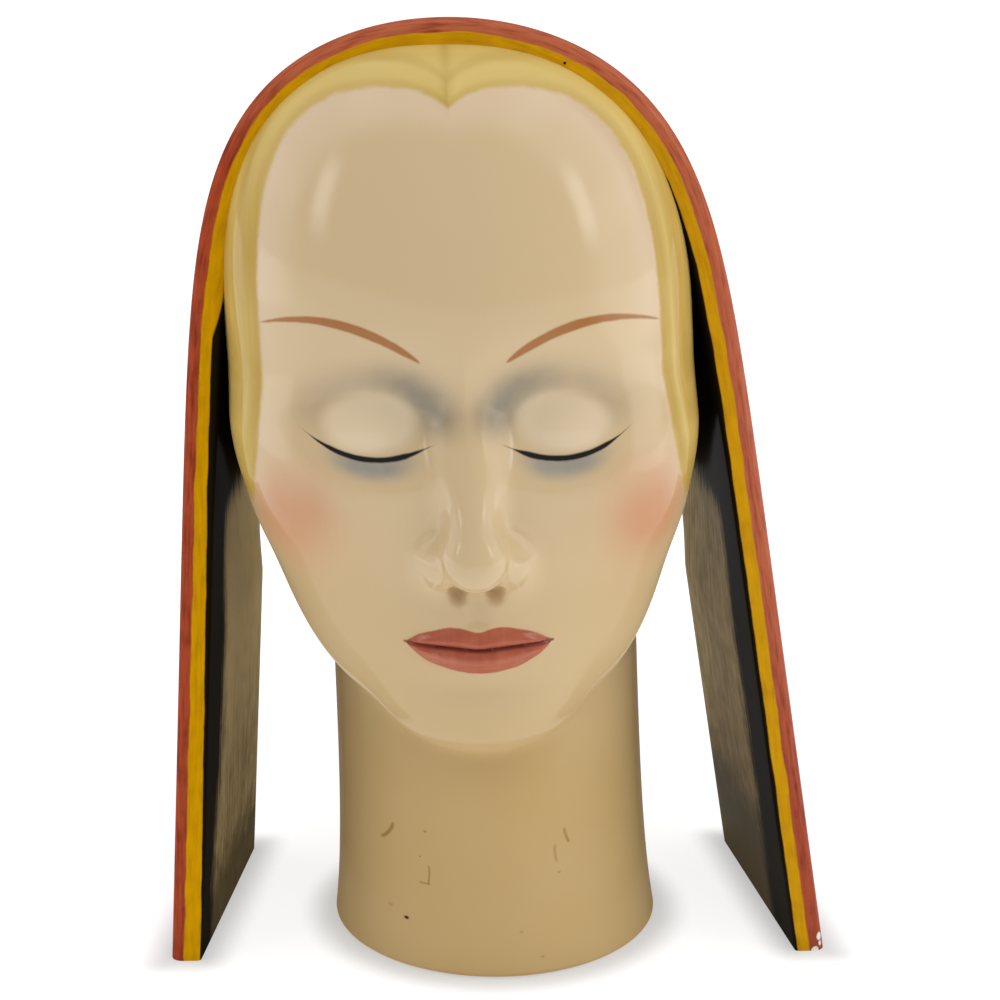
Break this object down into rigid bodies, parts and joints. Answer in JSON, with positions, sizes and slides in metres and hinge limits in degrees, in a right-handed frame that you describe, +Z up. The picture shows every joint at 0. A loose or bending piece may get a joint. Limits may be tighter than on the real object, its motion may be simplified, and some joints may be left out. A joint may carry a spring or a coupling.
{
  "type": "porcelain bust",
  "caption": "Glazed ceramic bust of a lady with lowered eyelids, a long neck and an arched head cloth whose two lappets stand on the table beside the neck.",
  "frame": {"origin": "on the table, under the middle of the bounding box", "axes": "+Z up, the face looks along -Y, +X to the viewer's right"},
  "size_m": [0.2034, 0.1889, 0.29],
  "materials": {
    "glazed_casting": "gloss glaze over painted cream skin, with a brick red and yellow rim and black lining on the head cloth"
  },
  "bodies": {
    "root": {"veiled_bust": "glazed_casting"}
  },
  "joints": []
}
